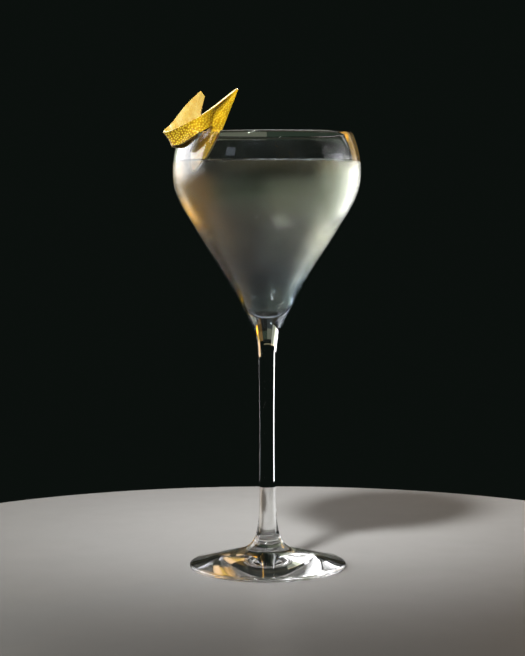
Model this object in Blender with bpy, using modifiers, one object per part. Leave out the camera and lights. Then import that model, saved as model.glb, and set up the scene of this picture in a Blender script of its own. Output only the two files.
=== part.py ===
"""A cocktail in a tall stemmed glass, with a strip of lemon peel hooked over the rim.

Three solids: the glass, the drink that fills its bowl, and the peel. The frame's origin is the middle
of the foot's underside, +Z is up, and the peel hangs at the front left, where the front is -Y.
"""

import math

import bmesh
import bpy
import numpy as np
from mathutils import Vector

MM = 0.001

# Driving dimensions of the glass
HEIGHT = 190.0 * MM            # table to rim
RIM_RADIUS = 37.4 * MM         # outside of the rim
BOWL_RADIUS = 40.8 * MM        # outside, at the widest level
BOWL_LEVEL = 175.0 * MM        # height of the widest level
KNUCKLE_LEVEL = 100.0 * MM     # where the bowl's cone runs into the stem
STEM_RADIUS = 3.6 * MM
FOOT_RADIUS = 34.5 * MM
FOOT_EDGE = 1.8 * MM           # thickness of the foot's edge
RIM_WALL = 0.9 * MM            # wall at the rim
CONE_WALL = 2.2 * MM           # wall low in the cone
WELL_LEVEL = 111.0 * MM        # lowest point inside the bowl
WELL_RADIUS = 7.5 * MM         # round bottom of the inside

# The drink
DRINK_LEVEL = 177.2 * MM
MENISCUS = 0.9 * MM            # how far the drink climbs at the wall
MENISCUS_WIDTH = 2.4 * MM      # how far in from the wall the climb begins

# Between neighbouring solids
GAP = 0.35 * MM

# The peel
PEEL_THICKNESS = 1.2 * MM
PEEL_CROWN = 0.35 * MM         # how far a strip of rind stays bowed across its width
CROWNED_WIDTH = 8.0 * MM       # a narrower strip is bowed less
PEEL_CLEARANCE = 0.5 * PEEL_THICKNESS + GAP
LEG_WALL = 1.3 * MM            # most wall between the leg and the glass's outer surface

# Fineness of the solids
ROUND_STEPS = 48               # facets round the glass
SPAN_STEPS = 6                 # points between two knots of a turned outline
EDGE_STEPS = 6                 # facets round the rim and the foot's edge
CLIMB_STEPS = 4                # points along the meniscus
FLATNESS = 0.08 * MM           # how far a thinned outline may leave the smooth one
STRIP_STEPS = 4                # rows between two stations of the peel
STRIP_COLUMNS = 4              # facets across the peel
WELD = 0.02 * MM               # points nearer than this become one


# ---------------------------------------------------------------- outlines

def smooth_line(knots, steps):
    """Points of the natural cubic spline through the knots, with the same number in each span."""
    knots = np.array(knots, dtype=float)
    spans = np.linalg.norm(np.diff(knots, axis=0), axis=1)
    count = len(knots)
    system = np.eye(count)
    change = np.zeros_like(knots)
    for i in range(1, count - 1):
        before, after = spans[i - 1], spans[i]
        system[i, i - 1:i + 2] = before, 2 * (before + after), after
        change[i] = 6 * ((knots[i + 1] - knots[i]) / after - (knots[i] - knots[i - 1]) / before)
    bend = np.linalg.solve(system, change)
    points = [knots[0]]
    for i, span in enumerate(spans):
        for step in range(1, steps + 1):
            t = step / steps
            s = 1 - t
            line = s * knots[i] + t * knots[i + 1]
            curve = ((s ** 3 - s) * bend[i] + (t ** 3 - t) * bend[i + 1]) * span ** 2 / 6
            points.append(line + curve)
    return [tuple(point) for point in points]


def arc(centre, radius, start, end, steps):
    """Points on a circle from one angle to another, in degrees from +X towards +Z."""
    points = []
    for step in range(steps + 1):
        angle = math.radians(start + (end - start) * step / steps)
        points.append((centre[0] + radius * math.cos(angle), centre[1] + radius * math.sin(angle)))
    return points


def thinned(points):
    """The outline with no more points than its shape needs: a stretch is one straight step where every
    point it leaves out lies within the flatness."""
    if len(points) < 3:
        return points
    start, end = Vector(points[0]), Vector(points[-1])
    along = (end - start).normalized()
    offsets = [abs((Vector(point) - start).cross(along)) for point in points[1:-1]]
    worst = max(offsets)
    if worst < FLATNESS:
        return [points[0], points[-1]]
    turn = offsets.index(worst) + 1
    return thinned(points[:turn + 1])[:-1] + thinned(points[turn:])


def bowl_knots():
    """Knots of the bowl's outside from the rim to the stem, as radius and height."""
    depth = BOWL_LEVEL - KNUCKLE_LEVEL
    cone = [                                       # share of the widest radius, share of the depth
        (0.976, 0.880), (0.917, 0.800), (0.804, 0.693), (0.618, 0.533),
        (0.417, 0.360), (0.254, 0.187), (0.157, 0.080),
    ]
    knots = [
        (RIM_RADIUS, HEIGHT),
        (0.967 * BOWL_RADIUS, HEIGHT - 0.4 * (HEIGHT - BOWL_LEVEL)),
        (BOWL_RADIUS, BOWL_LEVEL),
    ]
    knots += [(radius * BOWL_RADIUS, KNUCKLE_LEVEL + share * depth) for radius, share in cone]
    return knots


def stem_knots():
    """Knots of the stem, the flare and the top of the foot, going down."""
    return [
        (1.24 * STEM_RADIUS, KNUCKLE_LEVEL - 0.5 * MM),
        (1.07 * STEM_RADIUS, KNUCKLE_LEVEL - 10.0 * MM),
        (STEM_RADIUS, 0.36 * HEIGHT),
        (STEM_RADIUS, 0.19 * HEIGHT),
        (1.08 * STEM_RADIUS, 23.0 * MM),
        (1.37 * STEM_RADIUS, 15.6 * MM),
        (1.88 * STEM_RADIUS, 11.0 * MM),
        (2.65 * STEM_RADIUS, 8.6 * MM),
        (0.45 * FOOT_RADIUS, 6.6 * MM),
        (0.72 * FOOT_RADIUS, 4.1 * MM),
        (FOOT_RADIUS - 0.5 * FOOT_EDGE, FOOT_EDGE),
    ]


def wall_thickness(level):
    """The wall thickens evenly from the rim down to the cone's foot."""
    share = (HEIGHT - level) / (HEIGHT - WELL_LEVEL)
    return RIM_WALL + (CONE_WALL - RIM_WALL) * share ** 1.5


def inner_outline():
    """The bowl's inside from the rim to the axis: the outside moved in by the wall, then the well."""
    outer = smooth_line(bowl_knots(), SPAN_STEPS)
    centre = WELL_LEVEL + WELL_RADIUS
    inner = []
    for before, point, after in zip(outer, outer[1:], outer[2:]):
        run = Vector(after) - Vector(before)
        inward = Vector((run.y, -run.x)).normalized()
        radius, level = Vector(point) + inward * wall_thickness(point[1])
        if level > centre:
            inner.append((radius, level))
    inner = [(RIM_RADIUS - RIM_WALL, HEIGHT - 0.5 * RIM_WALL)] + inner
    cone_angle = math.degrees(math.atan2(inner[-2][0] - inner[-1][0], inner[-2][1] - inner[-1][1]))
    well = arc((0, centre), WELL_RADIUS, -cone_angle, -90, 2 * SPAN_STEPS)
    well[-1] = (0, WELL_LEVEL)
    return inner + well


def glass_outline():
    """The closed half section: underside, foot's edge, outside, rim and inside, bottom to top."""
    outside = smooth_line(bowl_knots() + stem_knots(), SPAN_STEPS)[1:]
    outside.reverse()
    half_edge, half_rim = 0.5 * FOOT_EDGE, 0.5 * RIM_WALL
    edge = arc((FOOT_RADIUS - half_edge, half_edge), half_edge, -90, 90, EDGE_STEPS)
    rim = arc((RIM_RADIUS - half_rim, HEIGHT - half_rim), half_rim, 0, 180, EDGE_STEPS)
    return [(0, 0)] + edge + outside[1:] + rim + inner_outline()[1:]


def outline_radius(outline, level):
    """Radius of an outline that runs downwards, read at a height."""
    depths = [-point[1] for point in outline]
    radii = [point[0] for point in outline]
    return float(np.interp(-level, depths, radii))


def drink_outline():
    """The drink's half section: bottom, wall a little inside the glass, meniscus and surface. The gap
    is kept sideways at the wall and upwards at the bottom."""
    inside = inner_outline()
    wall = [(max(radius - GAP, 0), level + GAP * (1 - radius / BOWL_RADIUS))
            for radius, level in inside if level < DRINK_LEVEL]
    wall.reverse()
    brink = outline_radius(inside, DRINK_LEVEL + MENISCUS) - GAP
    climb = []
    for step in range(CLIMB_STEPS + 1):
        share = step / CLIMB_STEPS
        climb.append((brink - share * MENISCUS_WIDTH, DRINK_LEVEL + MENISCUS * (1 - share) ** 2))
    return wall + climb + [(0, DRINK_LEVEL)]


# ---------------------------------------------------------------- scene helpers

def clear_scene():
    """Leave no object of the opened file behind."""
    for thing in list(bpy.data.objects):
        bpy.data.objects.remove(thing, do_unlink=True)


def new_collection(name):
    group = bpy.data.collections.new(name)
    bpy.context.scene.collection.children.link(group)
    return group


def new_material(name, colour, roughness, transmission=0.0):
    material = bpy.data.materials.new(name)
    material.use_nodes = True
    shader = material.node_tree.nodes["Principled BSDF"]
    shader.inputs["Base Color"].default_value = (*colour, 1)
    shader.inputs["Roughness"].default_value = roughness
    shader.inputs["Transmission Weight"].default_value = transmission
    return material


def add_object(name, mesh, group, material=None):
    thing = bpy.data.objects.new(name, mesh)
    group.objects.link(thing)
    if material:
        mesh.materials.append(material)
    return thing


def turned(name, outline, group, material):
    """A solid of revolution: the half section, turned once round Z by a Screw modifier."""
    mesh = bpy.data.meshes.new(name)
    points = [(radius, 0, level) for radius, level in reversed(thinned(outline))]
    mesh.from_pydata(points, [(i, i + 1) for i in range(len(points) - 1)], [])
    thing = add_object(name, mesh, group, material)
    screw = thing.modifiers.new("Turn", "SCREW")
    screw.axis = "Z"
    screw.steps = ROUND_STEPS
    screw.render_steps = ROUND_STEPS
    screw.use_merge_vertices = True
    screw.merge_threshold = WELD
    screw.use_smooth_shade = True
    return thing


# ---------------------------------------------------------------- the peel

def peel_point(angle, out, rise):
    """A place near the rim: degrees round from the front to the left, distance out from the glass's
    outer surface, and height above the rim."""
    level = min(HEIGHT + rise, HEIGHT)
    radius = outline_radius(smooth_line(bowl_knots(), SPAN_STEPS), level) + out
    turn = math.radians(angle)
    return Vector((-radius * math.sin(turn), -radius * math.cos(turn), HEIGHT + rise))


TIP = peel_point(19.4, -1.4 * MM, 16.9 * MM)
SLIT_END = peel_point(38.6, -0.5 * MM, 2.3 * MM)


def band_stations():
    """The upper strip, as pairs of points on its upper and lower edges: the back flap's slanted end,
    the back flap outside the glass, the fold, and the front flap up to the tip."""
    return [
        (peel_point(47.0, -1.8 * MM, 14.4 * MM), peel_point(47.6, 1.3 * MM, -2.2 * MM)),
        (peel_point(48.4, -0.6 * MM, 16.6 * MM), peel_point(51.7, 1.4 * MM, -5.2 * MM)),
        (peel_point(56.4, 3.6 * MM, 10.2 * MM), peel_point(56.0, 2.7 * MM, -7.0 * MM)),
        (peel_point(64.6, 8.4 * MM, 2.1 * MM), peel_point(60.2, 4.9 * MM, -6.8 * MM)),
        (peel_point(63.3, 11.1 * MM, 0.1 * MM), peel_point(58.2, 6.8 * MM, -6.2 * MM)),
        (peel_point(59.9, 10.6 * MM, -0.1 * MM), peel_point(55.2, 5.9 * MM, -5.9 * MM)),
        (peel_point(55.5, 9.0 * MM, 0.9 * MM), peel_point(50.0, 4.6 * MM, -4.5 * MM)),
        (peel_point(42.8, 4.4 * MM, 5.6 * MM), peel_point(43.0, 3.5 * MM, -1.3 * MM)),
        (peel_point(33.1, 1.0 * MM, 10.3 * MM), SLIT_END),
        (TIP + Vector((-0.3, 0, 0.1)) * MM, TIP),
    ]


def leg_stations(margin=0.0):
    """The leg inside the glass, as pairs of points on its left and right edges: from the tip down past
    the slit's end and along the wall to its point in the drink. A margin widens and lengthens it."""
    inside = -(LEG_WALL + PEEL_CLEARANCE + PEEL_CROWN)
    spread = math.degrees(margin / BOWL_RADIUS)
    return [
        (TIP, TIP + Vector((0.2, 0, -0.4)) * MM),
        (SLIT_END, peel_point(32.7, -3.0 * MM, 0.2 * MM)),
        (peel_point(45.6 + spread, inside, -0.2 * MM), peel_point(34.8 - spread, inside, -3.3 * MM)),
        (peel_point(51.2 + spread, inside, -3.4 * MM), peel_point(39.0 - spread, inside, -9.3 * MM)),
        (peel_point(55.5 + spread, inside, -9.0 * MM), peel_point(43.4 - spread, inside, -13.0 * MM)),
        (peel_point(52.6 + spread, inside, -16.2 * MM - margin),
         peel_point(50.4 - spread, inside, -16.8 * MM - margin)),
    ]


def strip_edge(knots, straight_spans):
    """One edge of a strip: straight in the spans named, with a smooth line through the rest."""
    line = [knots[0]]
    start = 0
    for span in range(len(knots) - 1):
        if span in straight_spans:
            line += [knots[span].lerp(knots[span + 1], (step + 1) / STRIP_STEPS)
                     for step in range(STRIP_STEPS)]
            start = span + 1
        elif span + 2 == len(knots) or span + 1 in straight_spans:
            line += [Vector(point) for point in smooth_line(knots[start:span + 2], STRIP_STEPS)[1:]]
    return line


def strip_rows(stations, straight_spans):
    """Rows of points across a strip, each bowed towards the rind's outer side."""
    first = strip_edge([pair[0] for pair in stations], straight_spans)
    second = strip_edge([pair[1] for pair in stations], straight_spans)
    rows = []
    for i, (left, right) in enumerate(zip(first, second)):
        before, after = max(i - 1, 0), min(i + 1, len(first) - 1)
        along = (first[after] + second[after]) - (first[before] + second[before])
        outward = along.cross(right - left).normalized()
        width = min((right - left).length / CROWNED_WIDTH, 1)
        row = []
        for column in range(STRIP_COLUMNS + 1):
            share = column / STRIP_COLUMNS
            bow = PEEL_CROWN * width * 4 * share * (1 - share)
            row.append(left.lerp(right, share) + outward * bow)
        rows.append(row)
    return rows


def add_strip(bm, rows):
    """Skin the rows of a strip with quads."""
    grid = [[bm.verts.new(point) for point in row] for row in rows]
    for near, far in zip(grid, grid[1:]):
        for column in range(STRIP_COLUMNS):
            bm.faces.new((near[column], near[column + 1], far[column + 1], far[column]))


def peel_sheet(name, strips, group, thickness, material=None):
    """Strips of rind joined where they share an edge, and given their thickness."""
    bm = bmesh.new()
    for rows in strips:
        add_strip(bm, rows)
    bmesh.ops.remove_doubles(bm, verts=bm.verts, dist=WELD)
    bmesh.ops.recalc_face_normals(bm, faces=bm.faces)
    mesh = bpy.data.meshes.new(name)
    bm.to_mesh(mesh)
    bm.free()
    mesh.shade_smooth()
    thing = add_object(name, mesh, group, material)
    shell = thing.modifiers.new("Thickness", "SOLIDIFY")
    shell.thickness = thickness
    shell.offset = 0
    return thing


# ---------------------------------------------------------------- the three pieces and the cutter

def build_glass(group):
    clear_glass = new_material("clear_glass", (0.96, 0.98, 0.97), 0.02, transmission=1.0)
    return turned("glass", glass_outline(), group, clear_glass)


def build_drink(group, cutters):
    """The drink, cut clear of the leg of peel that dips into it."""
    pale_drink = new_material("pale_drink", (0.62, 0.63, 0.48), 0.05, transmission=0.6)
    drink = turned("drink", drink_outline(), group, pale_drink)
    rows = strip_rows(leg_stations(margin=2 * GAP)[1:], ())
    cutter = peel_sheet("leg_cutter", [rows], cutters, PEEL_THICKNESS + 2 * GAP)
    cutter.hide_render = True
    cutter.display_type = "WIRE"
    cut = drink.modifiers.new("Leg of peel", "BOOLEAN")
    cut.operation = "DIFFERENCE"
    cut.solver = "EXACT"
    cut.object = cutter
    return drink


def build_peel(group):
    lemon_rind = new_material("lemon_rind", (0.90, 0.62, 0.03), 0.45)
    band = strip_rows(band_stations(), (0, 8))
    leg = strip_rows(leg_stations(), (0,))
    return peel_sheet("lemon_peel", [band, leg], group, PEEL_THICKNESS, lemon_rind)


def main():
    clear_scene()
    parts = new_collection("cosmopolitan_cocktail")
    cutters = new_collection("cutters")
    build_glass(parts)
    build_drink(parts, cutters)
    build_peel(parts)


main()
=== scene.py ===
"""A pale cocktail in a tall stemmed glass, with a strip of lemon peel hooked over the rim.

Laid out as an add-on and run as a script. Each operator makes one piece, or a group of like pieces,
round the fixed frame: the glass, the drink, its bubbles, the peel and the dew on the bowl. The frame's
origin is the middle of the foot's underside, +Z is up and the front is -Y.
"""

import math

import bmesh
import bpy
import numpy as np
from bpy.props import FloatProperty, FloatVectorProperty, IntProperty, PointerProperty
from bpy.types import Operator, Panel, PropertyGroup
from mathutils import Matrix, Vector, kdtree


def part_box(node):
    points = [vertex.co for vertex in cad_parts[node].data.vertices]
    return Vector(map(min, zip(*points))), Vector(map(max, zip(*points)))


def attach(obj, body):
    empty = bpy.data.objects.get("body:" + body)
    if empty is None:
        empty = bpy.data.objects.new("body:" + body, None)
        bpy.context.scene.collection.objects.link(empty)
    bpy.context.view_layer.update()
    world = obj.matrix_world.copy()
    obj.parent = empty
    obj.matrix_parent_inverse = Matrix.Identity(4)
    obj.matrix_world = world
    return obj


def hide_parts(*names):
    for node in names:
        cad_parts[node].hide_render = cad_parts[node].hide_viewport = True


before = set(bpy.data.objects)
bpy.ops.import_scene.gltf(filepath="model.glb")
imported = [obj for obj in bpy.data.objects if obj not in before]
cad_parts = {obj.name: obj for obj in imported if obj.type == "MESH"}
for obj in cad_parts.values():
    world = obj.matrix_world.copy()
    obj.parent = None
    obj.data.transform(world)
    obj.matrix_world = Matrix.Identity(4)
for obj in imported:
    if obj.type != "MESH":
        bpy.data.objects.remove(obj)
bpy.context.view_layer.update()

bl_info = {
    "name": "Stemmed cocktail with lemon peel",
    "version": (1, 0, 0),
    "blender": (4, 5, 0),
    "location": "3D View > Sidebar > Cocktail",
    "description": "Makes a cocktail in a stemmed glass, piece by piece",
    "category": "Add Mesh",
}

MM = 0.001
GLASS_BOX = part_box("glass")
DRINK_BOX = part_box("drink")
OUTLINE_STEPS = 10                # points in each span of the glass's and the drink's outlines
ROUGH_STEPS = 6                   # the same, where an outline only places other pieces
DEW_STEPS = 12                    # the same, where an outline carries the dew
PEEL_STEPS, PEEL_COLUMNS = ((40, 68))
TURNED_WELD = 0.002 * MM
PEEL_WELD = 0.005 * MM


# ---------------------------------------------------------------- settings

def length(name, description, default):
    return FloatProperty(name=name, description=description, default=default, unit="LENGTH",
                         subtype="DISTANCE", precision=5)


def colour(name, description, default):
    return FloatVectorProperty(name=name, description=description, default=default, size=3,
                               subtype="COLOR", min=0, max=1)


def share(name, description, default):
    return FloatProperty(name=name, description=description, default=default, min=0, max=1,
                         subtype="FACTOR")


def degrees(name, description, default):
    return FloatProperty(name=name, description=description + ", in degrees", default=default, precision=3)


class GlassSettings(PropertyGroup):
    height: length("Height", "Table to rim", GLASS_BOX[1].z)
    bowl_radius: length("Bowl radius", "Outside of the bowl where it is widest", GLASS_BOX[1].x)
    bowl_level: length("Bowl level", "Height of the bowl's widest part", 175.0 * MM)
    rim_radius: length("Rim radius", "Outside of the rim", 37.4 * MM)
    knuckle_level: length("Knuckle level", "Height where the bowl's cone runs into the stem", 100.0 * MM)
    stem_radius: length("Stem radius", "Thinnest part of the stem", 3.6 * MM)
    foot_radius: length("Foot radius", "Outside of the foot", 34.5 * MM)
    foot_edge: length("Foot edge", "Thickness of the foot's rounded edge", 1.8 * MM)
    foot_hollow: length("Foot hollow", "How far the underside is hollowed at its middle", 1.2 * MM)
    rim_wall: length("Rim wall", "Thickness of the wall at the rim", 0.9 * MM)
    cone_wall: length("Cone wall", "Thickness of the wall low in the cone", 2.2 * MM)
    well_level: length("Well level", "Lowest point inside the bowl", 111.0 * MM)
    well_radius: length("Well radius", "Radius of the rounded bottom inside", 7.5 * MM)
    tint: colour("Tint", "Colour of the glass", (0.985, 0.995, 0.99))
    rounds: IntProperty(name="Rounds", description="Facets round the glass", default=192, min=32)


class DrinkSettings(PropertyGroup):
    meniscus: length("Meniscus", "How far the drink climbs at the wall", 0.9 * MM)
    meniscus_width: length("Meniscus width", "How far in from the wall the climb begins", 2.4 * MM)
    reach: length("Reach", "How far the drink reaches into the wall, so that no air shows", 0.12 * MM)
    body: colour("Body", "Colour of the drink in the wide part of the bowl", (0.92, 0.94, 0.86))
    # This colour and the two heights after it paint shade into the drink: darker and bluer low down, where
    # the thin drink glows less
    depth: colour("Depth", "Colour of the drink in the narrow bottom", (0.36, 0.44, 0.52))
    shade_top: length("Depth top", "Height where the bottom's colour has faded out", 152.0 * MM)
    shade_bottom: length("Depth bottom", "Height where the bottom's colour is full", 128.0 * MM)
    clearness: share("Clearness", "How clear the drink is; the rest is haze", 0.997)
    well_clearance: length("Well clearance", "Height over the bottom where bubbles stop", 6 * MM)
    bubble_count: IntProperty(name="Bubbles", description="Bubbles and specks in the drink", default=26)
    bubble_radius: length("Bubble radius", "Largest bubble", 0.32 * MM)


class PeelSettings(PropertyGroup):
    thickness: length("Thickness", "Thickness of the rind", 1.2 * MM)
    crown: length("Crown", "How far a strip bows out across its width", 0.35 * MM)
    crowned_width: length("Crowned width", "Width from which a strip bows out fully", 8 * MM)
    gland_spacing: length("Gland spacing", "Distance between neighbouring oil glands", 1.15 * MM)
    gland_depth: length("Gland depth", "Depth of the dimple over a gland", 0.07 * MM)
    zest: colour("Zest", "Colour of the outer rind", (0.72, 0.39, 0.004))
    # This colour serves two marks: darker zest in random patches, which the rind has, and painted shade
    # towards the fold at the left
    deep_zest_and_shade: colour("Ripe zest", "Deeper colour in patches and at the ripe end", (0.22, 0.105, 0.001))
    # These two distances place painted shade on the zest, starting left of the axis and full near the
    # fold; they are not ripening
    shade_start_side: length("Fresh side", "Distance left of the axis where the rind starts to ripen", 27 * MM)
    shade_full_side: length("Ripe side", "Distance left of the axis where the rind is fully ripe", 34 * MM)
    gland: colour("Glands", "Colour over an oil gland", (1.0, 0.76, 0.05))
    pith: colour("Pith", "Colour of the pith", (0.48, 0.345, 0.065))
    stained: colour("Stained pith", "Colour where the zest shows through the pith", (0.42, 0.25, 0.02))
    cut: colour("Cut edge", "Colour of the white layer that the cut shows", (0.66, 0.58, 0.38))


class DewSettings(PropertyGroup):
    bottom_level: length("Bottom level", "Height where the dew has faded out", 116.0 * MM)
    fine_count: IntProperty(name="Fine dew", description="Number of fine droplets", default=8600)
    fine_radius: length("Fine radius", "Largest fine droplet", 0.24 * MM)
    drop_count: IntProperty(name="Drops", description="Number of larger drops", default=2600)
    drop_radius: length("Drop radius", "Largest drop", 0.40 * MM)
    rise: share("Rise", "How far a bead stands out, as a part of its radius", 0.5)
    smallest: share("Smallest", "Smallest bead that is kept, as a part of the largest", 0.2)
    frost: share("Frost", "Roughness of the misted glass", 0.13)


class StageSettings(PropertyGroup):
    floor_radius: length("Floor radius", "Radius of the round table top", 0.22)
    floor_thickness: length("Floor thickness", "Thickness of the table top", 20 * MM)
    floor_gap: length("Floor gap", "Gap under the foot, so that the two don't touch", 0.05 * MM)
    floor: colour("Floor", "Colour of the table top", (0.38, 0.375, 0.365))
    backdrop: colour("Backdrop", "Colour of the studio behind", (0.0035, 0.0052, 0.0042))
    camera_distance: length("Camera distance", "Distance from the glass's axis to the camera", 0.7508)
    camera_height: length("Camera height", "Height of the camera over the table", 0.1565)
    camera_dip: degrees("Camera dip", "How far the camera looks down", 3.898)
    camera_roll: degrees("Camera roll", "How far the camera leans", 0.16)
    camera_turn: degrees("Camera turn", "How far the camera looks to the left", 0.145)
    lens_mm: FloatProperty(name="Lens", description="Focal length in millimetres", default=94.4)


class CocktailSettings(PropertyGroup):
    glass: PointerProperty(type=GlassSettings)
    drink: PointerProperty(type=DrinkSettings)
    peel: PointerProperty(type=PeelSettings)
    dew: PointerProperty(type=DewSettings)
    stage: PointerProperty(type=StageSettings)


# ---------------------------------------------------------------- lines and outlines

def smooth_line(knots, steps):
    """Points of the natural cubic spline through the knots, with the same number in each span."""
    knots = np.array(knots, dtype=float)
    spans = np.linalg.norm(np.diff(knots, axis=0), axis=1)
    count = len(knots)
    system = np.eye(count)
    change = np.zeros_like(knots)
    for i in range(1, count - 1):
        before, after = spans[i - 1], spans[i]
        system[i, i - 1:i + 2] = before, 2 * (before + after), after
        change[i] = 6 * ((knots[i + 1] - knots[i]) / after - (knots[i] - knots[i - 1]) / before)
    bend = np.linalg.solve(system, change)
    points = [knots[0]]
    for i, span in enumerate(spans):
        for step in range(1, steps + 1):
            t = step / steps
            s = 1 - t
            line = s * knots[i] + t * knots[i + 1]
            curve = ((s ** 3 - s) * bend[i] + (t ** 3 - t) * bend[i + 1]) * span ** 2 / 6
            points.append(line + curve)
    return [tuple(point) for point in points]


def arc(centre, radius, start, end, steps):
    """Points on a circle from one angle to another, in degrees from +X towards +Z."""
    points = []
    for step in range(steps + 1):
        angle = math.radians(start + (end - start) * step / steps)
        points.append((centre[0] + radius * math.cos(angle), centre[1] + radius * math.sin(angle)))
    return points


def bowl_knots(glass):
    """Knots of the bowl's outside from the rim to the stem, as radius and height."""
    depth = glass.bowl_level - glass.knuckle_level
    cone = [                                       # share of the widest radius, share of the depth
        (0.976, 0.880), (0.917, 0.800), (0.804, 0.693), (0.618, 0.533),
        (0.417, 0.360), (0.254, 0.187), (0.157, 0.080),
    ]
    knots = [
        (glass.rim_radius, glass.height),
        (0.967 * glass.bowl_radius, glass.height - 0.4 * (glass.height - glass.bowl_level)),
        (glass.bowl_radius, glass.bowl_level),
    ]
    knots += [(radius * glass.bowl_radius, glass.knuckle_level + part * depth) for radius, part in cone]
    return knots


def stem_knots(glass):
    """Knots of the stem, the flare and the top of the foot, going down."""
    stem, foot, knuckle = glass.stem_radius, glass.foot_radius, glass.knuckle_level
    return [
        (1.24 * stem, knuckle - 0.5 * MM),
        (1.07 * stem, knuckle - 10.0 * MM),
        (stem, 0.36 * glass.height),
        (stem, 0.19 * glass.height),
        (1.08 * stem, 23.0 * MM),
        (1.37 * stem, 15.6 * MM),
        (1.88 * stem, 11.0 * MM),
        (2.65 * stem, 8.6 * MM),
        (0.45 * foot, 6.6 * MM),
        (0.72 * foot, 4.1 * MM),
        (foot - 0.5 * glass.foot_edge, glass.foot_edge),
    ]


def wall_thickness(glass, level):
    """The wall thickens from the rim down to the cone's foot, faster low down."""
    part = (glass.height - level) / (glass.height - glass.well_level)
    return glass.rim_wall + (glass.cone_wall - glass.rim_wall) * max(part, 0) ** 1.5


def inner_outline(glass, steps):
    """The bowl's inside from the rim to the axis: the outside moved in by the wall, then the well."""
    outer = smooth_line(bowl_knots(glass), steps)
    centre = glass.well_level + glass.well_radius
    inner = []
    for before, point, after in zip(outer, outer[1:], outer[2:]):
        run = Vector(after) - Vector(before)
        inward = Vector((run.y, -run.x)).normalized()
        radius, level = Vector(point) + inward * wall_thickness(glass, point[1])
        if level > centre:
            inner.append((radius, level))
    inner = [(glass.rim_radius - glass.rim_wall, glass.height - 0.5 * glass.rim_wall)] + inner
    cone_angle = math.degrees(math.atan2(inner[-2][0] - inner[-1][0], inner[-2][1] - inner[-1][1]))
    well = arc((0, centre), glass.well_radius, -cone_angle, -90, 2 * steps)
    well[-1] = (0, glass.well_level)
    return inner + well


def glass_outline(glass, steps):
    """The closed half section: hollow underside, foot's edge, outside, rim and inside."""
    outside = smooth_line(bowl_knots(glass) + stem_knots(glass), steps)[1:]
    outside.reverse()
    half_edge, half_rim = 0.5 * glass.foot_edge, 0.5 * glass.rim_wall
    edge_steps = 2 * steps
    edge = arc((glass.foot_radius - half_edge, half_edge), half_edge, -90, 90, edge_steps)
    rim = arc((glass.rim_radius - half_rim, glass.height - half_rim), half_rim, 0, 180, edge_steps)
    ring = 0.88 * glass.foot_radius
    hollow = []
    for step in range(edge_steps):
        part = step / edge_steps
        hollow.append((part * ring, glass.foot_hollow * (1 - part ** 2) ** 2))
    return hollow + [(ring, 0)] + edge + outside[1:] + rim + inner_outline(glass, steps)[1:]


def outline_radius(outline, level):
    """Radius of an outline that runs downwards, read at a height or at many heights."""
    points = np.array(outline)
    return np.interp(-level, -points[:, 1], points[:, 0])


def drink_level(drink):
    return DRINK_BOX[1].z - drink.meniscus


def drink_outline(glass, drink, steps):
    """The drink's half section: bottom and wall a little way into the glass, meniscus, surface."""
    inside = inner_outline(glass, steps)
    level = drink_level(drink)
    top = level + drink.meniscus
    wall = []
    for before, point, after in zip(inside, inside[1:], inside[2:]):
        if point[1] >= top:
            continue
        run = Vector(after) - Vector(before)
        outward = Vector((-run.y, run.x)).normalized()
        wall.append(tuple(Vector(point) + outward * drink.reach))
    wall.append((0, glass.well_level - drink.reach))
    wall.reverse()
    brink = outline_radius(inside, top) + drink.reach
    climb = []
    climb_steps = 4 * steps
    for step in range(climb_steps + 1):
        part = step / climb_steps
        fall = (1 - part) ** 3
        climb.append((brink - part * drink.meniscus_width, level + drink.meniscus * fall))
    return wall + climb + [(0, level)]


# ---------------------------------------------------------------- mesh helpers

def finished(bm, name, material, replaced=()):
    """Turn a bmesh into a smooth piece that rides on the body, takes a slot and stands for nodes."""
    mesh = bpy.data.meshes.new(name)
    bm.to_mesh(mesh)
    bm.free()
    mesh.shade_smooth()
    mesh.materials.append(material)
    return place_piece(mesh, name, replaced)


def place_piece(mesh, name, replaced=()):
    """Put a finished mesh in the scene as a piece of the part."""
    piece = bpy.data.objects.new(name, mesh)
    bpy.context.scene.collection.objects.link(piece)
    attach(piece, "root")
    for node in replaced:
        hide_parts(node)
    return piece


def turned(outline, rounds):
    """A solid of revolution, from its half section spun once round Z."""
    bm = bmesh.new()
    verts = [bm.verts.new((radius, 0, level)) for radius, level in outline]
    edges = [bm.edges.new(pair) for pair in zip(verts, verts[1:])]
    bmesh.ops.spin(bm, geom=verts + edges, cent=(0, 0, 0), axis=(0, 0, 1), angle=math.tau,
                   steps=rounds, use_merge=True)
    bmesh.ops.remove_doubles(bm, verts=bm.verts, dist=TURNED_WELD)
    bmesh.ops.recalc_face_normals(bm, faces=bm.faces)
    return bm


def store(piece, name, values):
    """Keep one number for each vertex, for the materials to read."""
    data = piece.data.attributes.new(name, "FLOAT", "POINT")
    data.data.foreach_set("value", np.asarray(values, dtype=np.float32))


def coordinates(mesh):
    points = np.empty(3 * len(mesh.vertices), dtype=np.float32)
    mesh.vertices.foreach_get("co", points)
    return points.reshape(-1, 3).astype(float)


# ---------------------------------------------------------------- material helpers

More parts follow.
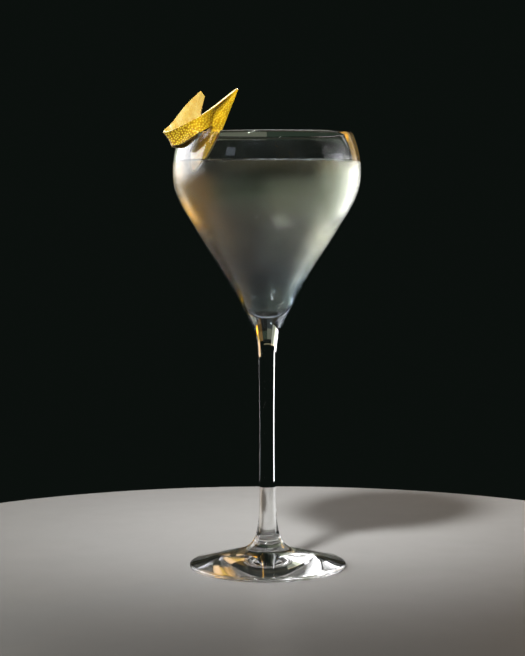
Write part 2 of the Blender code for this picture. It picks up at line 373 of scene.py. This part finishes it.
class Nodes:
    """A material's node tree, with short calls for the nodes that the finishes use."""

    def __init__(self, name):
        self.material = bpy.data.materials.new(name)
        self.material.use_nodes = True
        self.tree = self.material.node_tree
        self.shader = self.tree.nodes["Principled BSDF"]
        self.place = self.tree.nodes.new("ShaderNodeTexCoord").outputs["Object"]

    def add(self, kind, inputs=None, **settings):
        node = self.tree.nodes.new(kind)
        for key, value in settings.items():
            setattr(node, key, value)
        for key, value in (inputs or {}).items():
            self.plug(value, node.inputs[key])
        return node

    def plug(self, value, socket):
        if isinstance(value, bpy.types.NodeSocket):
            self.tree.links.new(value, socket)
        elif isinstance(value, tuple) and len(value) == 3 and socket.type == "RGBA":
            socket.default_value = (*value, 1)
        else:
            socket.default_value = value

    def set(self, **inputs):
        """Set or link the shader's own sockets."""
        for key, value in inputs.items():
            self.plug(value, self.shader.inputs[key.replace("_", " ")])

    def noise(self, size, detail=2.0, roughness=0.5):
        """Noise whose features measure about the given size."""
        inputs = {"Vector": self.place, "Scale": 1 / size, "Detail": detail, "Roughness": roughness}
        return self.add("ShaderNodeTexNoise", inputs).outputs["Fac"]

    def attribute(self, name):
        return self.add("ShaderNodeAttribute", attribute_name=name).outputs["Fac"]

    def math(self, operation, first, second):
        node = self.add("ShaderNodeMath", operation=operation)
        self.plug(first, node.inputs[0])
        self.plug(second, node.inputs[1])
        return node.outputs[0]

    def span(self, value, low, high, to_low=0.0, to_high=1.0):
        """Carry a value from one range to another, held at the ends."""
        inputs = {"Value": value, "From Min": low, "From Max": high, "To Min": to_low, "To Max": to_high}
        return self.add("ShaderNodeMapRange", inputs).outputs["Result"]

    def blend(self, part, first, second):
        """Mix two colours."""
        node = self.add("ShaderNodeMix", data_type="RGBA")
        self.plug(part, node.inputs[0])
        self.plug(first, node.inputs[6])
        self.plug(second, node.inputs[7])
        return node.outputs[2]

    def bump(self, height, distance, strength):
        inputs = {"Height": height, "Distance": distance, "Strength": strength}
        return self.add("ShaderNodeBump", inputs).outputs["Normal"]


# ---------------------------------------------------------------- the glass

def glass_finish(glass, dew):
    """Polished clear glass, misted where the cold drink stands behind it."""
    finish = Nodes("polished_glass")
    misted = finish.attribute("misted")
    grain = finish.noise(0.35 * MM, detail=3)
    patches = finish.noise(9 * MM, detail=2)
    veil = finish.math("MULTIPLY", misted, finish.span(patches, 0.3, 0.7, 0.6, 1.1))
    smears = finish.span(finish.noise(14 * MM, detail=4), 0.55, 0.75, 0.0, 0.012)
    mist = finish.math("MULTIPLY", veil, finish.span(grain, 0.3, 0.7, 0.5 * dew.frost, 1.4 * dew.frost))
    beads = finish.math("MULTIPLY", finish.span(grain, 0.42, 0.62), misted)
    finish.set(
        Base_Color=tuple(glass.tint), IOR=1.5,
        Roughness=finish.math("ADD", mist, smears),
        Normal=finish.bump(beads, 0.03 * MM, 0.6),
    )
    finish.shader.inputs["Transmission Weight"].default_value = 1.0
    return finish.material


def misting(points, glass, drink, dew):
    """How misted the outer surface is at each point: up to the drink's level, fading out below."""
    radii = np.hypot(points[:, 0], points[:, 1])
    levels = points[:, 2]
    outside = outline_radius(smooth_line(bowl_knots(glass), OUTLINE_STEPS), levels)
    on_surface = radii > outside - 0.3 * glass.rim_wall
    top_blur, bottom_blur = 0.8 * MM, 18 * MM
    below = np.clip((drink_level(drink) + 0.5 * top_blur - levels) / top_blur, 0, 1)
    fade = np.clip((levels - dew.bottom_level) / bottom_blur, 0, 1)
    return on_surface * below * fade


class COCKTAIL_OT_glass(Operator):
    """Make the stemmed glass"""
    bl_idname = "cocktail.glass"
    bl_label = "Stemmed glass"

    def execute(self, context):
        settings = context.scene.cocktail
        glass, dew = settings.glass, settings.dew
        bm = turned(glass_outline(glass, OUTLINE_STEPS), glass.rounds)
        piece = finished(bm, "stemmed_glass", glass_finish(glass, dew), ("glass",))
        store(piece, "misted", misting(coordinates(piece.data), glass, settings.drink, dew))
        return {"FINISHED"}


# ---------------------------------------------------------------- the drink

def drink_finish(drink):
    """A pale, faintly cloudy liquid, with painted shade that makes it darker and bluer in the narrow
    bottom, where the thin drink glows less.
    """
    finish = Nodes("pale_cocktail")
    cloud = finish.noise(11 * MM, detail=3)
    height = finish.add("ShaderNodeSeparateXYZ", {"Vector": finish.place}).outputs["Z"]
    drift = finish.math("ADD", height, finish.span(cloud, 0.3, 0.7, -3 * MM, 3 * MM))
    # painted shade: the colour darkens and turns blue towards the bottom, for the fainter glow where the
    # drink is thin
    painted_thin_shade = finish.span(drift, drink.shade_top, drink.shade_bottom)
    finish.set(
        Base_Color=finish.blend(painted_thin_shade, tuple(drink.body), tuple(drink.depth)), IOR=1.33,
        Roughness=finish.span(cloud, 0.3, 0.7, 0.07, 0.10),
    )
    finish.shader.inputs["Transmission Weight"].default_value = drink.clearness
    return finish.material


def bubble_finish():
    finish = Nodes("bubble_skin")
    finish.set(Base_Color=(0.95, 0.96, 0.93), IOR=1.2,
               Roughness=finish.span(finish.noise(0.3 * MM), 0.3, 0.7, 0.0, 0.05))
    finish.shader.inputs["Transmission Weight"].default_value = 0.85
    return finish.material


class COCKTAIL_OT_drink(Operator):
    """Make the drink, up to its level"""
    bl_idname = "cocktail.drink"
    bl_label = "Drink"

    def execute(self, context):
        settings = context.scene.cocktail
        outline = drink_outline(settings.glass, settings.drink, OUTLINE_STEPS)
        bm = turned(outline, settings.glass.rounds)
        finished(bm, "cocktail_drink", drink_finish(settings.drink), ("drink",))
        return {"FINISHED"}


class COCKTAIL_OT_bubbles(Operator):
    """Make the few fine bubbles in the drink"""
    bl_idname = "cocktail.bubbles"
    bl_label = "Bubbles"

    def execute(self, context):
        settings = context.scene.cocktail
        drink = settings.drink
        inside = inner_outline(settings.glass, ROUGH_STEPS)
        bottom = settings.glass.well_level + drink.well_clearance
        draw = np.random.default_rng(11)
        bm = bmesh.new()
        for _ in range(drink.bubble_count):
            radius = drink.bubble_radius * draw.uniform(0.35, 1.0) ** 1.5
            top = drink_level(drink) - 2 * radius
            level = top - (top - bottom) * draw.uniform(0, 1) ** 2.2
            reach = outline_radius(inside, level) - 2 * radius
            distance = reach * draw.uniform(0.2, 0.97) ** 0.5
            turn = draw.uniform(0, math.tau)
            place = Vector((distance * math.cos(turn), distance * math.sin(turn), level))
            made = bmesh.ops.create_icosphere(bm, subdivisions=2, radius=radius)
            bmesh.ops.translate(bm, verts=made["verts"], vec=place)
        finished(bm, "drink_bubbles", bubble_finish())
        return {"FINISHED"}


# ---------------------------------------------------------------- the peel

def peel_point(glass, angle, out, rise):
    """A place near the rim: degrees round from the front to the left, distance out from the glass's
    outer surface, and height above the rim."""
    level = min(glass.height + rise, glass.height)
    radius = outline_radius(smooth_line(bowl_knots(glass), ROUGH_STEPS), level) + out
    turn = math.radians(angle)
    return Vector((-radius * math.sin(turn), -radius * math.cos(turn), glass.height + rise))


def peel_tip(glass):
    return peel_point(glass, 19.4, -1.4 * MM, 16.9 * MM)


def slit_end(glass):
    return peel_point(glass, 38.6, -0.5 * MM, 2.3 * MM)


def band_stations(glass):
    """The upper strip, as pairs of points on its upper and lower edges: the back flap's slanted end,
    the back flap outside the glass, the fold, and the front flap up to the tip."""
    pairs = [                # upper: degrees, mm out, mm above the rim; lower: the same
        ((47.0, -1.8, 14.4), (47.6, 1.3, -2.2)),
        ((48.4, -0.6, 16.6), (51.7, 1.4, -5.2)),
        ((56.4, 3.6, 10.2), (56.0, 2.7, -7.0)),
        ((64.6, 8.4, 2.1), (60.2, 4.9, -6.8)),
        ((63.3, 11.1, 0.1), (58.2, 6.8, -6.2)),
        ((59.9, 10.6, -0.1), (55.2, 5.9, -5.9)),
        ((55.5, 9.0, 0.9), (50.0, 4.6, -4.5)),
        ((42.8, 4.4, 5.6), (43.0, 3.5, -1.3)),
    ]
    stations = [(peel_point(glass, upper[0], upper[1] * MM, upper[2] * MM),
                 peel_point(glass, lower[0], lower[1] * MM, lower[2] * MM)) for upper, lower in pairs]
    stations.append((peel_point(glass, 33.1, 1.0 * MM, 10.3 * MM), slit_end(glass)))
    tip = peel_tip(glass)
    stations.append((tip + Vector((-0.3, 0, 0.1)) * MM, tip))
    return stations


def leg_stations(glass, peel):
    """The leg inside the glass, as pairs of points on its left and right edges: from the tip down past
    the slit's end and along the wall to its point in the drink."""
    wall_and_gap = 1.6 * MM
    inside = -(wall_and_gap + 0.5 * peel.thickness + peel.crown)
    tip = peel_tip(glass)
    return [
        (tip, tip + Vector((0.2, 0, -0.4)) * MM),
        (slit_end(glass), peel_point(glass, 32.7, -3.0 * MM, 0.2 * MM)),
        (peel_point(glass, 45.6, inside, -0.2 * MM), peel_point(glass, 34.8, inside, -3.3 * MM)),
        (peel_point(glass, 51.2, inside, -3.4 * MM), peel_point(glass, 39.0, inside, -9.3 * MM)),
        (peel_point(glass, 55.5, inside, -9.0 * MM), peel_point(glass, 43.4, inside, -13.0 * MM)),
        (peel_point(glass, 52.6, inside, -16.2 * MM), peel_point(glass, 50.4, inside, -16.8 * MM)),
    ]


def strip_edges(stations, steps, straight_spans):
    """The two edges of a strip: straight in the spans named, with a smooth line through the rest."""
    edges = []
    for side in (0, 1):
        knots = [tuple(pair[side]) for pair in stations]
        line = [knots[0]]
        start = 0
        for span in range(len(knots) - 1):
            if span in straight_spans:
                ends = Vector(knots[span]), Vector(knots[span + 1])
                line += [tuple(ends[0].lerp(ends[1], (step + 1) / steps)) for step in range(steps)]
                start = span + 1
            elif span + 2 == len(knots) or span + 1 in straight_spans:
                line += smooth_line(knots[start:span + 2], steps)[1:]
        edges.append([Vector(point) for point in line])
    return edges


def add_strip(bm, edges, peel):
    """Bridge a strip's two edges, divide the rungs between them and bow each rung outwards."""
    older = set(bm.verts)
    chains = []
    for line in edges:
        verts = [bm.verts.new(point) for point in line]
        chains.append((verts, [bm.edges.new(pair) for pair in zip(verts, verts[1:])]))
    (first, first_edges), (second, second_edges) = chains
    bmesh.ops.bridge_loops(bm, edges=first_edges + second_edges)
    rungs = [edge for vert in first for edge in vert.link_edges if edge.other_vert(vert) in second]
    runs = [end.co - start.co for start, end in zip(first, second)]
    outward = []
    for i, run in enumerate(runs):
        before, after = max(i - 1, 0), min(i + 1, len(first) - 1)
        along = (first[after].co + second[after].co) - (first[before].co + second[before].co)
        outward.append(tuple(along.cross(run).normalized()))
    outward = np.array(outward)
    starts = np.array([tuple(vert.co) for vert in first])
    runs = np.array([tuple(run) for run in runs])
    bmesh.ops.subdivide_edges(bm, edges=rungs, cuts=PEEL_COLUMNS - 1, use_grid_fill=True)
    rims = set(first) | set(second)
    inner = [vert for vert in bm.verts if vert not in rims and vert not in older]
    points = np.array([tuple(vert.co) for vert in inner])
    nearest, parts = nearest_rung(points, starts, runs)
    widths = np.linalg.norm(runs, axis=1)[nearest]
    bows = peel.crown * np.minimum(widths / peel.crowned_width, 1) * 4 * parts * (1 - parts)
    for vert, point in zip(inner, points + outward[nearest] * bows[:, None]):
        vert.co = point


def nearest_rung(points, starts, runs):
    """For each point, the rung that it lies on and how far along that rung it lies."""
    tiny = 1e-18
    best = np.full(len(points), np.inf)
    nearest = np.zeros(len(points), dtype=int)
    parts = np.zeros(len(points))
    for index, (start, run) in enumerate(zip(starts, runs)):
        part = np.clip((points - start) @ run / max(run @ run, tiny), 0, 1)
        gap = np.linalg.norm(points - start - part[:, None] * run, axis=1)
        closer = gap < best
        best[closer] = gap[closer]
        nearest[closer] = index
        parts[closer] = part[closer]
    return nearest, parts


def scatter(points, spacing, draw):
    """Points picked at random from a cloud so that no two are nearer than the spacing."""
    kept = []
    order = draw.permutation(len(points))
    cells = {}
    for index in order:
        point = points[index]
        cell = tuple(np.floor(point / spacing).astype(int))
        near = [other for x in (-1, 0, 1) for y in (-1, 0, 1) for z in (-1, 0, 1)
                for other in cells.get((cell[0] + x, cell[1] + y, cell[2] + z), ())]
        if all(np.linalg.norm(point - other) >= spacing for other in near):
            cells.setdefault(cell, []).append(point)
            kept.append(point)
    return np.array(kept)


def peel_finish(peel):
    """Waxy lemon zest with oil glands outside, fibrous pith inside, both read from the rind's depth. The
    zest also carries painted shade that darkens it towards the fold at the left.
    """
    finish = Nodes("lemon_rind")
    depth = finish.attribute("rind_depth")
    gland = finish.attribute("gland")
    patches = finish.noise(5 * MM, detail=3)
    fine = finish.noise(0.5 * MM, detail=3)
    across = finish.add("ShaderNodeSeparateXYZ", {"Vector": finish.place}).outputs["X"]
    # darker zest in random patches, plus painted shade that grows towards the fold at the left, read from
    # X
    tone_and_shade = finish.math("ADD", finish.span(patches, 0.4, 0.68, 0.0, 0.6),
                           finish.span(across, -peel.shade_start_side, -peel.shade_full_side))
    zest = finish.blend(tone_and_shade, tuple(peel.zest), tuple(peel.deep_zest_and_shade))
    zest = finish.blend(finish.math("MULTIPLY", gland, finish.span(fine, 0.3, 0.7, 0.6, 1.0)),
                        zest, tuple(peel.gland))
    fibres = finish.noise(1.1 * MM, detail=5, roughness=0.65)
    stain = finish.math("MULTIPLY", finish.span(finish.noise(2.6 * MM, detail=3), 0.38, 0.66),
                        finish.span(depth, 0.9, 1.0))
    pith = finish.blend(finish.span(fibres, 0.35, 0.7, 0.0, 0.5), tuple(peel.pith),
                        tuple(0.92 * value for value in peel.pith))
    pith = finish.blend(stain, pith, tuple(peel.stained))
    pith = finish.blend(finish.span(depth, 0.8, 0.97), tuple(peel.cut), pith)
    skin = finish.span(finish.math("ADD", depth, finish.span(fine, 0.3, 0.7, -0.06, 0.06)), 0.2, 0.34)
    finish.set(
        Base_Color=finish.blend(skin, zest, pith),
        Roughness=finish.span(finish.math("ADD", skin, finish.span(fine, 0.3, 0.7, -0.15, 0.15)),
                              0, 1, 0.34, 0.72),
        Normal=finish.bump(finish.blend(skin, finish.span(fine, 0, 1), fibres), 0.06 * MM, 0.7),
    )
    finish.shader.inputs["Subsurface Weight"].default_value = 0.18
    finish.shader.inputs["Subsurface Radius"].default_value = (1.0, 0.6, 0.15)
    finish.shader.inputs["Subsurface Scale"].default_value = 0.8 * MM
    finish.shader.inputs["Coat Weight"].default_value = 0.15
    finish.shader.inputs["Coat Roughness"].default_value = 0.25
    return finish.material


class COCKTAIL_OT_peel(Operator):
    """Make the lemon peel hooked over the rim"""
    bl_idname = "cocktail.peel"
    bl_label = "Lemon peel"

    def execute(self, context):
        settings = context.scene.cocktail
        glass, peel = settings.glass, settings.peel
        bm = bmesh.new()
        add_strip(bm, strip_edges(band_stations(glass), PEEL_STEPS, straight_spans=(0, 8)), peel)
        add_strip(bm, strip_edges(leg_stations(glass, peel), PEEL_STEPS, straight_spans=(0,)), peel)
        bmesh.ops.remove_doubles(bm, verts=bm.verts, dist=PEEL_WELD)
        bmesh.ops.recalc_face_normals(bm, faces=bm.faces)
        piece = finished(bm, "lemon_twist", peel_finish(peel), ("lemon_peel",))
        self.thicken(context, piece, peel)
        self.dimple(piece, peel)
        return {"FINISHED"}

    def thicken(self, context, piece, peel):
        """Turn the sheet into a rind, and note each vertex's depth in it: 0 on the zest, 1 on the pith."""
        pith_count = len(piece.data.vertices)
        shell = piece.modifiers.new("Thickness", "SOLIDIFY")
        shell.thickness = peel.thickness
        shell.offset = 0
        graph = context.evaluated_depsgraph_get()
        thick = bpy.data.meshes.new_from_object(piece.evaluated_get(graph))
        piece.modifiers.clear()
        piece.data = thick
        depth = np.zeros(len(thick.vertices))
        depth[:pith_count] = 1
        store(piece, "rind_depth", depth)

    def dimple(self, piece, peel):
        """Sink a dimple over each oil gland of the zest, and note where the glands are."""
        points = coordinates(piece.data)
        depth = np.empty(len(points), dtype=np.float32)
        piece.data.attributes["rind_depth"].data.foreach_get("value", depth)
        normals = np.array([tuple(vert.normal) for vert in piece.data.vertices])
        outer = depth < 0.5
        glands = scatter(points[outer], peel.gland_spacing * 0.8, np.random.default_rng(5))
        tree = kdtree.KDTree(len(glands))
        for index, point in enumerate(glands):
            tree.insert(point, index)
        tree.balance()
        nearest = np.array([tree.find(point)[2] for point in points])
        pit = np.exp(-(nearest / (0.30 * peel.gland_spacing)) ** 2) * outer
        store(piece, "gland", pit)
        points -= normals * (pit * peel.gland_depth)[:, None]
        piece.data.vertices.foreach_set("co", points.astype(np.float32).ravel())
        piece.data.update()


# ---------------------------------------------------------------- the dew

def dew_finish():
    finish = Nodes("dew_water")
    finish.set(Base_Color=(0.99, 1.0, 1.0), IOR=1.33,
               Roughness=finish.span(finish.noise(0.6 * MM), 0.3, 0.7, 0.0, 0.04))
    finish.shader.inputs["Transmission Weight"].default_value = 1.0
    return finish.material


def droplet_shape(fineness, rise):
    """One flattened bead of unit radius, as arrays of its corners and triangles."""
    bm = bmesh.new()
    bmesh.ops.create_icosphere(bm, subdivisions=fineness, radius=1)
    bmesh.ops.scale(bm, verts=bm.verts, vec=(1, 1, rise))
    corners = np.array([tuple(vert.co) for vert in bm.verts])
    triangles = np.array([[vert.index for vert in face.verts] for face in bm.faces])
    bm.free()
    return corners, triangles


def dew_places(settings, count, draw):
    """Random places on the outside of the bowl, fewer towards the bottom, with the slope there."""
    glass, dew = settings.glass, settings.dew
    outer = smooth_line(bowl_knots(glass), DEW_STEPS)
    top = drink_level(settings.drink)
    fade_height = 0.45 * (top - dew.bottom_level)
    levels = np.empty(0)
    while len(levels) < count:
        tries = draw.uniform(dew.bottom_level, top, 4 * count)
        fade = np.clip((tries - dew.bottom_level) / fade_height, 0, 1)
        chance = fade * outline_radius(outer, tries) / glass.bowl_radius
        levels = np.append(levels, tries[draw.uniform(0, 1, len(tries)) < chance])
    levels = levels[:count]
    step = 0.3 * MM
    slopes = (outline_radius(outer, levels + step) - outline_radius(outer, levels - step)) / (2 * step)
    return outline_radius(outer, levels), levels, slopes


def scatter_dew(settings, name, count, largest, fineness, seed):
    """Beads of water on the outside of the bowl below the drink's level, made as one joined mesh. None
    stands out past the bowl's widest ring."""
    dew = settings.dew
    draw = np.random.default_rng(seed)
    corners, triangles = droplet_shape(fineness, dew.rise)
    radii, levels, slopes = dew_places(settings, count, draw)
    sizes = largest * draw.uniform(0.35, 1.0, count) ** 1.4
    room = (settings.glass.bowl_radius - radii) / dew.rise
    sizes = np.minimum(sizes, 0.98 * room)
    kept = sizes > dew.smallest * largest
    radii, levels, slopes, sizes = radii[kept], levels[kept], slopes[kept], sizes[kept]
    count = len(sizes)
    turns = draw.uniform(0, math.tau, count)
    out = np.stack([np.cos(turns), np.sin(turns), -slopes], axis=1)
    out /= np.linalg.norm(out, axis=1)[:, None]
    along = np.stack([-np.sin(turns), np.cos(turns), np.zeros(count)], axis=1)
    up = np.cross(out, along)
    centres = np.stack([radii * np.cos(turns), radii * np.sin(turns), levels], axis=1)
    stretch = draw.uniform(0.85, 1.2, (count, 2))
    shape = corners[None, :, :] * sizes[:, None, None]
    points = (centres[:, None, :]
              + shape[:, :, 0:1] * along[:, None, :] * stretch[:, None, 0:1]
              + shape[:, :, 1:2] * up[:, None, :] * stretch[:, None, 1:2]
              + shape[:, :, 2:3] * out[:, None, :])
    faces = triangles[None, :, :] + len(corners) * np.arange(count)[:, None, None]
    mesh = bpy.data.meshes.new(name)
    mesh.from_pydata(points.reshape(-1, 3).tolist(), [], faces.reshape(-1, 3).tolist())
    mesh.shade_smooth()
    mesh.materials.append(bpy.data.materials.get("dew_water") or dew_finish())
    return place_piece(mesh, name)


class COCKTAIL_OT_dew(Operator):
    """Make the dew on the outside of the cold bowl"""
    bl_idname = "cocktail.dew"
    bl_label = "Dew"

    def execute(self, context):
        settings = context.scene.cocktail
        dew = settings.dew
        scatter_dew(settings, "fine_dew", dew.fine_count, dew.fine_radius, fineness=1, seed=21)
        scatter_dew(settings, "dew_drops", dew.drop_count, dew.drop_radius, fineness=2, seed=22)
        return {"FINISHED"}


# ---------------------------------------------------------------- the stage

def hang(name, lamp, location, rotation):
    """Hang a light in the scene, hidden from the camera."""
    holder = bpy.data.objects.new(name, lamp)
    holder.location = location
    holder.rotation_euler = rotation
    holder.visible_camera = False
    bpy.context.scene.collection.objects.link(holder)


def side_light(name, turn, level, distance, radiance, tint):
    """An upright soft box that faces the glass, from one turn and one height to another. Turns are
    degrees from straight behind the glass towards the right."""
    middle = math.radians(0.5 * (turn[0] + turn[1]))
    half = math.radians(0.5 * (turn[1] - turn[0]))
    lamp = bpy.data.lights.new(name, "AREA")
    lamp.shape = "RECTANGLE"
    lamp.size = 2 * distance * math.tan(half)
    lamp.size_y = level[1] - level[0]
    lamp.energy = radiance * math.pi * lamp.size * lamp.size_y
    lamp.color = tint
    height = 0.5 * (level[0] + level[1])
    location = (distance * math.sin(middle), distance * math.cos(middle), height)
    hang(name, lamp, location, (math.pi / 2, 0, math.pi - middle))


def key_light(name, aim, turn, rise, distance, size, radiance, grid):
    """A small square soft box high in front. Its grid, in degrees, keeps the light near the aim."""
    turn, rise, grid = math.radians(turn), math.radians(rise), math.radians(grid)
    lamp = bpy.data.lights.new(name, "AREA")
    lamp.size = size
    lamp.spread = 2 * grid
    lamp.energy = radiance * math.pi * size ** 2 * (math.tan(grid) - grid) / math.tan(grid)
    toward = Vector((math.sin(turn) * math.cos(rise), math.cos(turn) * math.cos(rise), math.sin(rise)))
    hang(name, lamp, aim + distance * toward, toward.to_track_quat("Z", "Y").to_euler())


def left_lights(white):
    """A tall white soft box at the left, with a strip lower down for the stem."""
    distance = 0.62
    side_light("left_box", (-95, -40), (0.16, 0.50), distance, 5.0, white)
    side_light("left_low", (-78, -40), (0.10, 0.16), distance, 3.5, white)
    side_light("left_strip", (-46, -36), (-0.06, 0.10), distance, 2.4, white)
    side_light("left_top", (-100, -78), (0.50, 0.78), distance, 3.6, (1.0, 0.92, 0.82))


def right_lights():
    """A cool soft box at the right, and beside it a gold glow that turns brown towards the back."""
    distance = 0.62
    side_light("right_box", (74, 92), (0.20, 0.32), 0.60, 1.6, (0.88, 0.88, 1.0))
    side_light("gold_low", (36, 58), (0.06, 0.24), distance, 1.2, (1.0, 0.66, 0.36))
    side_light("gold_middle", (36, 52), (0.24, 0.36), distance, 0.8, (1.0, 0.62, 0.14))
    side_light("gold_high", (36, 52), (0.36, 0.55), distance, 3.4, (1.0, 0.48, 0.03))
    side_light("brown_low", (16, 36), (0.20, 0.35), 0.66, 0.15, (1.0, 0.58, 0.17))
    side_light("brown_high", (16, 36), (0.35, 0.58), 0.66, 0.08, (1.0, 0.50, 0.05))


def back_lights(white):
    """A wall behind the glass, bright at the left and dim towards the right, and a far low glow."""
    wall, far, dull = 0.68, 0.72, (0.95, 1.0, 0.80)
    side_light("wall_dim", (0, 16), (0.215, 0.34), wall, 0.032, (0.66, 1.0, 0.66))
    side_light("wall_middle", (-16, 0), (0.215, 0.38), wall, 0.115, (0.93, 1.0, 0.74))
    side_light("wall_high", (-16, 0), (0.38, 0.56), wall, 0.03, (0.80, 0.95, 1.0))
    side_light("wall_left", (-26, -16), (0.14, 0.48), wall, 0.32, dull)
    side_light("wall_bright", (-34, -26), (0.14, 0.48), wall, 1.0, dull)
    side_light("wall_edge", (-40, -34), (0.16, 0.48), wall, 4.0, white)
    side_light("far_glow", (-16, 13), (0.145, 0.163), far, 0.14, (1.0, 0.88, 0.55))
    side_light("far_gold", (-38, -16), (0.145, 0.163), far, 0.42, (1.0, 0.62, 0.22))


def front_lights():
    """A dim window at the front left, and the key light on the peel."""
    side_light("window", (-140, -128), (0.40, 0.56), 0.80, 0.8, (0.75, 0.85, 1.0))
    peel_middle = Vector((-0.030, -0.032, 0.198))
    key_light("key_box", peel_middle, -158, 48, 0.85, size=0.11, radiance=620.0, grid=11)


def floor_finish(stage):
    finish = Nodes("pale_table")
    tone = finish.noise(40 * MM, detail=4)
    pale = tuple(stage.floor)
    finish.set(Base_Color=finish.blend(finish.span(tone, 0.3, 0.7), pale, tuple(0.96 * v for v in pale)),
               Roughness=finish.span(tone, 0.3, 0.7, 0.4, 0.5))
    return finish.material


class COCKTAIL_OT_stage(Operator):
    """Make the table top, the lights and the camera"""
    bl_idname = "cocktail.stage"
    bl_label = "Stage"

    def execute(self, context):
        stage = context.scene.cocktail.stage
        self.table(context, stage)
        self.lights(context, stage)
        self.camera(context, stage)
        return {"FINISHED"}

    def table(self, context, stage):
        bm = bmesh.new()
        made = bmesh.ops.create_circle(bm, cap_ends=True, segments=160, radius=stage.floor_radius)
        down = bmesh.ops.extrude_face_region(bm, geom=bm.faces[:])
        lowered = [item for item in down["geom"] if isinstance(item, bmesh.types.BMVert)]
        bmesh.ops.translate(bm, verts=lowered, vec=(0, 0, -stage.floor_thickness))
        bmesh.ops.translate(bm, verts=bm.verts, vec=(0, 0, -stage.floor_gap))
        bmesh.ops.recalc_face_normals(bm, faces=bm.faces)
        mesh = bpy.data.meshes.new("table_top")
        bm.to_mesh(mesh)
        bm.free()
        mesh.materials.append(floor_finish(stage))
        table = bpy.data.objects.new("table_top", mesh)
        context.scene.collection.objects.link(table)

    def lights(self, context, stage):
        world = bpy.data.worlds.new("studio")
        world.use_nodes = True
        world.node_tree.nodes["Background"].inputs["Color"].default_value = (*stage.backdrop, 1)
        context.scene.world = world
        context.scene.view_settings.view_transform = "Standard"
        cycles = context.scene.cycles
        cycles.max_bounces = 24
        cycles.transmission_bounces = 24
        cycles.glossy_bounces = 16
        white = (0.99, 0.98, 1.0)
        left_lights(white)
        right_lights()
        back_lights(white)
        front_lights()

    def camera(self, context, stage):
        lens = bpy.data.cameras.new("camera")
        lens.lens = stage.lens_mm
        lens.sensor_width = 36
        lens.clip_start = 0.01
        camera = bpy.data.objects.new("camera", lens)
        camera.location = (0, -stage.camera_distance, stage.camera_height)
        angles = (90 - stage.camera_dip, stage.camera_roll, stage.camera_turn)
        camera.rotation_euler = [math.radians(angle) for angle in angles]
        context.scene.collection.objects.link(camera)
        context.scene.camera = camera


# ---------------------------------------------------------------- the panel and the run

class COCKTAIL_PT_panel(Panel):
    bl_idname = "COCKTAIL_PT_panel"
    bl_label = "Cocktail"
    bl_space_type = "VIEW_3D"
    bl_region_type = "UI"
    bl_category = "Cocktail"

    def draw(self, context):
        for operator in OPERATORS:
            self.layout.operator(operator.bl_idname)


SETTINGS = (GlassSettings, DrinkSettings, PeelSettings, DewSettings, StageSettings, CocktailSettings)
OPERATORS = (COCKTAIL_OT_glass, COCKTAIL_OT_drink, COCKTAIL_OT_bubbles, COCKTAIL_OT_peel,
             COCKTAIL_OT_dew, COCKTAIL_OT_stage)


def register():
    for item in SETTINGS + OPERATORS + (COCKTAIL_PT_panel,):
        bpy.utils.register_class(item)
    bpy.types.Scene.cocktail = PointerProperty(type=CocktailSettings)


def unregister():
    del bpy.types.Scene.cocktail
    for item in reversed(SETTINGS + OPERATORS + (COCKTAIL_PT_panel,)):
        bpy.utils.unregister_class(item)


def main():
    register()
    bpy.ops.cocktail.glass()
    bpy.ops.cocktail.drink()
    bpy.ops.cocktail.bubbles()
    bpy.ops.cocktail.peel()
    bpy.ops.cocktail.dew()
    bpy.ops.cocktail.stage()


if __name__ == "__main__":
    main()
